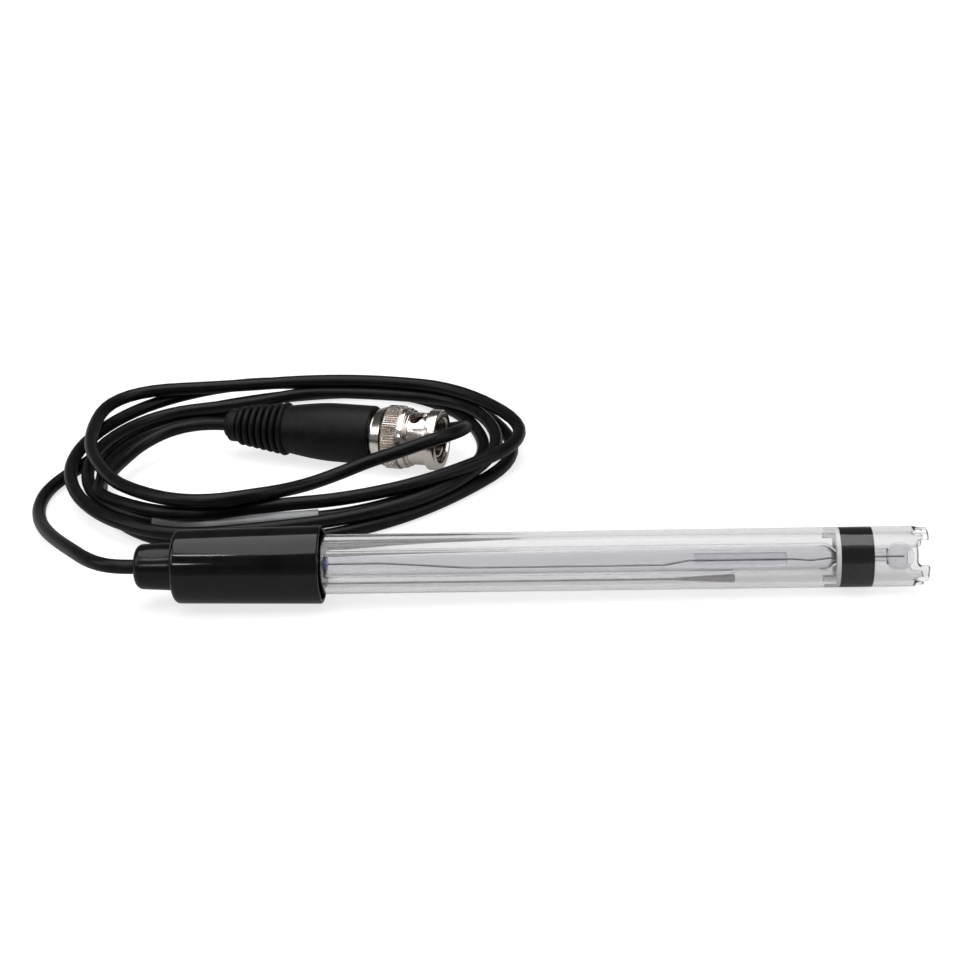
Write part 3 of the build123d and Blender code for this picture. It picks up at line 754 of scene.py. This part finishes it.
def nurbs(name, points, diameter):
    curve = bpy.data.curves.new(name, "CURVE")
    curve.dimensions = "3D"
    curve.resolution_u = 8
    curve.bevel_depth = diameter / 2
    curve.bevel_resolution = 6
    curve.use_fill_caps = True
    spline = curve.splines.new("NURBS")
    spline.points.add(len(points) - 1)
    for point, place in zip(spline.points, points):
        point.co = (*place, 1)
    spline.order_u = 3
    spline.use_endpoint_u = True
    return curve


def read_line(curve):
    """The points of a curve's own smooth line."""
    bare = curve.copy()
    bare.bevel_depth = 0
    probe = bpy.data.objects.new("probe", bare)
    bpy.context.scene.collection.objects.link(probe)
    mesh = bpy.data.meshes.new_from_object(probe)
    line = [v.co.copy() for v in mesh.vertices]
    bpy.data.objects.remove(probe)
    bpy.data.meshes.remove(mesh)
    return line


def tube_along(name, line, outer, inner, around=32):
    """A sleeve of a given outer and inner radius that follows a line of points."""
    form = bmesh.new()
    loops = []
    side = Vector((0, 0, 1))
    for i, point in enumerate(line):
        ahead = (line[min(i + 1, len(line) - 1)] - line[max(i - 1, 0)]).normalized()
        across = ahead.cross(side).normalized()
        up = across.cross(ahead)
        for radius in (outer, inner):
            loops.append([
                form.verts.new(point + (across * math.cos(math.tau * k / around)
                                        + up * math.sin(math.tau * k / around)) * radius)
                for k in range(around)
            ])
    outside, inside = loops[0::2], loops[1::2]
    skin = outside + inside[::-1] + [outside[0]]
    for low, high in zip(skin, skin[1:]):
        for k in range(around):
            n = (k + 1) % around
            form.faces.new((low[k], low[n], high[n], high[k]))
    bmesh.ops.recalc_face_normals(form, faces=form.faces)
    mesh = bpy.data.meshes.new(name)
    form.to_mesh(mesh)
    form.free()
    return mesh


# Settings
class ElectrodeShaft(bpy.types.PropertyGroup):
    slot_width: bpy.props.FloatProperty(
        name="Slot width", description="Width of the guard's slots", default=0.0048, unit="LENGTH")
    crown_turn: bpy.props.FloatProperty(
        name="Guard turn", description="How far the guard is turned about the shaft",
        default=math.radians(-36), subtype="ANGLE")


class ElectrodeCable(bpy.types.PropertyGroup):
    diameter: bpy.props.FloatProperty(
        name="Cable diameter", description="Outside diameter of the coaxial cable",
        default=2 * CABLE_RADIUS * MM, unit="LENGTH")
    length: bpy.props.FloatProperty(
        name="Cable length", description="Length from the strain relief to the boot", default=1.425,
        unit="LENGTH")


class ElectrodePlug(bpy.types.PropertyGroup):
    bayonet_turn: bpy.props.FloatProperty(
        name="Bayonet turn", description="How far the coupling sleeve's slots are turned about the plug",
        default=math.radians(-86), subtype="ANGLE")


class ElectrodeStage(bpy.types.PropertyGroup):
    floor_colour: bpy.props.FloatVectorProperty(
        name="Floor colour", description="Colour of the floor and the backdrop", subtype="COLOR",
        default=(0.36, 0.36, 0.36), min=0, max=1)


# Operators
class BuildShaft(bpy.types.Operator):
    """Build the clear shaft and the blown glass inside it"""
    bl_idname = "electrode.shaft"
    bl_label = "Shaft and Glass"

    def execute(self, context):
        settle("clear_shaft", crown_tube("clear_shaft"), ELECTRODE_SEAT, "clear_plastic",
               replaced=["body_tube"])
        settle("glass_bulb_and_stem", lathe("glass_bulb_and_stem", stem_outline(), 128), ELECTRODE_SEAT,
               "blown_glass", replaced=["glass_stem"])
        beside_the_stem = Vector((REFERENCE_START, REFERENCE_REACH * math.cos(REFERENCE_DIRECTION),
                                  REFERENCE_REACH * math.sin(REFERENCE_DIRECTION))) * MM
        settle("silver_reference", lathe("silver_reference", reference_outline(), 64),
               ELECTRODE_SEAT @ Matrix.Translation(beside_the_stem), "coated_silver",
               replaced=["reference_element"])
        return {"FINISHED"}


class BuildCap(bpy.types.Operator):
    """Build the moulded cap and its strain relief"""
    bl_idname = "electrode.cap"
    bl_label = "Cap"

    def execute(self, context):
        settle("cap", lathe("cap", cap_outline()), ELECTRODE_SEAT, "cap_plastic", replaced=["cap_shell"])
        settle("strain_relief_boot", lathe("strain_relief_boot", relief_outline()), ELECTRODE_SEAT,
               "black_rubber", replaced=["strain_relief"])
        return {"FINISHED"}


class BuildPlug(bpy.types.Operator):
    """Build the plug's ribbed boot and its bayonet coupling sleeve"""
    bl_idname = "electrode.plug"
    bl_label = "Plug"

    def execute(self, context):
        boot = settle("boot_body", lathe("boot_body", boot_outline()), PLUG_SEAT, "boot_plastic",
                      replaced=["plug_boot"])
        ribs = settle("boot_ribs", boot_ribs(), PLUG_SEAT, "boot_plastic")
        cutters = [bayonet_cutter(context.scene.electrode_plug.bayonet_turn + side) for side in (0, math.pi)]
        sleeve = cut_away(lathe("bayonet_sleeve", sleeve_outline()), cutters)
        coupling = settle("bayonet_sleeve", sleeve, PLUG_SEAT, "nickel_plate", "coupling",
                          replaced=["coupling_sleeve"])
        knurl = settle("sleeve_knurl", knurl_teeth(), PLUG_SEAT, "nickel_plate", "coupling")
        return {"FINISHED"}


class BuildCable(bpy.types.Operator):
    """Lay the cable and its label sleeve"""
    bl_idname = "electrode.cable"
    bl_label = "Cable"

    def execute(self, context):
        settings = context.scene.electrode_cable
        curve = nurbs("cable", cable_points(), settings.diameter)
        curve.materials.append(FINISHES["cable_jacket"])
        cable = bpy.data.objects.new("cable", curve)
        context.scene.collection.objects.link(cable)
        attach(cable, "root")
        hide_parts("cord_lead", "cord_crossing", "cord_tail", "cord_coil")
        line = read_line(curve)
        run = sum((b - a).length for a, b in zip(line, line[1:]))
        print("cable length", round(run, 4), "points", len(line))
        start, end = (Vector(p) * MM for p in LABEL_ENDS)
        first_half = range(len(line) // 2)
        low, high = sorted(min(first_half, key=lambda i: (line[i] - spot).length) for spot in (start, end))
        sleeve = tube_along("label_sleeve", line[low:high + 1], LABEL_RADIUS * MM, LABEL_BORE * MM)
        label = settle("label_sleeve", sleeve, Matrix.Identity(4), "clear_label", replaced=["cable_label"])
        return {"FINISHED"}


class PaintNodes(bpy.types.Operator):
    """Give the pieces that come from the frame their finishes"""
    bl_idname = "electrode.finishes"
    bl_label = "Finishes"

    def execute(self, context):
        slots = {part["node"]: part["material_slot"] for part in frame["record"]["subparts"]}
        for name, piece in frame["nodes"].items():
            piece.data.materials.clear()
            piece.data.materials.append(FINISHES[slots[name]])
        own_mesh(frame["nodes"]["spring_washer"])
        return {"FINISHED"}


def lay_floor(colour):
    """The floor, which is also the backdrop.

    It keeps the object's shadow, and rays from the camera, from polished metal and through clear plastic
    see a white glow on it.
    """
    form = bmesh.new()
    bmesh.ops.create_grid(form, x_segments=1, y_segments=1, size=6.0)
    mesh = bpy.data.meshes.new("floor")
    form.to_mesh(mesh)
    form.free()
    floor = bpy.data.objects.new("floor", mesh)
    floor.location.z = -0.05 * MM
    bpy.context.scene.collection.objects.link(floor)
    finish = Finish("Stage floor", Base_Color=(*colour, 1), Roughness=0.9, Specular_IOR_Level=0.0)
    camera_ray = finish.add("ShaderNodeLightPath", output="Is Camera Ray")
    path = camera_ray.socket.node
    glossy_ray = Wire(finish, path.outputs["Is Glossy Ray"])
    transmission_ray = Wire(finish, path.outputs["Is Transmission Ray"])
    in_metal, through_plastic = 0.27, 0.67
    seen = camera_ray + glossy_ray * in_metal + transmission_ray * through_plastic
    place = finish.place()
    distance = finish.add("ShaderNodeVectorMath", {"operation": "LENGTH"}, {0: place}, output="Value")
    shade = finish.ramp(distance, [(0.25, 0.75), (0.9, 1.0)])
    glow = finish.add("ShaderNodeEmission", None, {"Color": shade, "Strength": seen})
    both = finish.add("ShaderNodeAddShader", None, {0: glow, 1: Wire(finish, finish.shader.outputs[0])})
    finish.tree.links.new(both.socket, finish.output.inputs[0])
    floor.data.materials.append(finish.material)


def light_world():
    """The world: white where it is seen directly or through clear plastic, and a dim studio elsewhere."""
    world = bpy.data.worlds.new("Studio")
    bpy.context.scene.world = world
    world.use_nodes = True
    graph = Graph(world.node_tree)
    background = world.node_tree.nodes["Background"]
    path = graph.tree.nodes.new("ShaderNodeLightPath")
    direct = graph.add("ShaderNodeMath", {"operation": "MAXIMUM"}, {
        0: Wire(graph, path.outputs["Is Camera Ray"]), 1: Wire(graph, path.outputs["Is Transmission Ray"]),
    })
    sight = graph.add("ShaderNodeTexCoord", output="Generated")
    height = graph.add("ShaderNodeSeparateXYZ", None, {0: sight}, output="Z")
    studio = graph.add("ShaderNodeMapRange", None, {
        "Value": height, "From Min": 0.0, "From Max": 0.35, "To Min": 0.30, "To Max": 0.05,
    })
    strength = graph.add("ShaderNodeMix", {"data_type": "FLOAT"}, {0: direct, 2: studio, 3: 1.0})
    graph.tree.links.new(strength.socket, background.inputs["Strength"])
    background.inputs["Color"].default_value = (1, 1, 1, 1)


def hang_lamps():
    for name, (place, target, width, depth, power) in LAMPS.items():
        data = bpy.data.lights.new(name, "AREA")
        data.shape = "RECTANGLE"
        data.size = width
        data.size_y = depth
        data.energy = power
        lamp = bpy.data.objects.new(name, data)
        lamp.location = place
        lamp.rotation_euler = (Vector(target) - Vector(place)).to_track_quat("-Z", "Y").to_euler()
        bpy.context.scene.collection.objects.link(lamp)


def camera_place():
    """The camera's place from its heading, its downward pitch and its roll."""
    forward = Vector((math.sin(CAMERA_YAW) * math.cos(CAMERA_PITCH),
                      math.cos(CAMERA_YAW) * math.cos(CAMERA_PITCH), -math.sin(CAMERA_PITCH)))
    level = Vector((math.cos(CAMERA_YAW), -math.sin(CAMERA_YAW), 0))
    above = level.cross(forward)
    right = level * math.cos(CAMERA_ROLL) + above * math.sin(CAMERA_ROLL)
    up = above * math.cos(CAMERA_ROLL) - level * math.sin(CAMERA_ROLL)
    place = Matrix((right, up, -forward)).transposed().to_4x4()
    place.translation = CAMERA_POINT
    return place


class BuildStage(bpy.types.Operator):
    """Set the floor, the backdrop, the lamps and the camera"""
    bl_idname = "electrode.stage"
    bl_label = "Stage"

    def execute(self, context):
        scene = context.scene
        lay_floor(scene.electrode_stage.floor_colour)
        light_world()
        hang_lamps()
        data = bpy.data.cameras.new("Camera")
        data.sensor_width = 36
        data.lens = CAMERA_LENS
        camera = bpy.data.objects.new("Camera", data)
        scene.collection.objects.link(camera)
        scene.camera = camera
        camera.matrix_world = camera_place()
        scene.view_settings.view_transform = "Standard"
        return {"FINISHED"}


class ElectrodePanel(bpy.types.Panel):
    bl_idname = "VIEW3D_PT_electrode"
    bl_label = "pH Electrode"
    bl_space_type = "VIEW_3D"
    bl_region_type = "UI"
    bl_category = "Electrode"

    def draw(self, context):
        column = self.layout.column()
        for owner, names in (
            (context.scene.electrode_shaft, ("slot_width", "crown_turn")),
            (context.scene.electrode_cable, ("diameter", "length")),
            (context.scene.electrode_plug, ("bayonet_turn",)),
            (context.scene.electrode_stage, ("floor_colour",)),
        ):
            for name in names:
                column.prop(owner, name)
        for operator in OPERATORS:
            column.operator(operator.bl_idname)


OPERATORS = (PaintNodes, BuildShaft, BuildCap, BuildPlug, BuildCable, BuildStage)
SETTINGS = {
    "electrode_shaft": ElectrodeShaft,
    "electrode_cable": ElectrodeCable,
    "electrode_plug": ElectrodePlug,
    "electrode_stage": ElectrodeStage,
}


def register():
    for kind in (*SETTINGS.values(), *OPERATORS, ElectrodePanel):
        bpy.utils.register_class(kind)
    for name, kind in SETTINGS.items():
        setattr(bpy.types.Scene, name, bpy.props.PointerProperty(type=kind))


def unregister():
    for name in SETTINGS:
        delattr(bpy.types.Scene, name)
    for kind in (ElectrodePanel, *reversed(OPERATORS), *SETTINGS.values()):
        bpy.utils.unregister_class(kind)


def main():
    register()
    FINISHES.update(make_finishes())
    bpy.ops.electrode.finishes()
    bpy.ops.electrode.shaft()
    bpy.ops.electrode.cap()
    bpy.ops.electrode.plug()
    bpy.ops.electrode.cable()
    bpy.ops.electrode.stage()


if __name__ == "__main__":
    main()
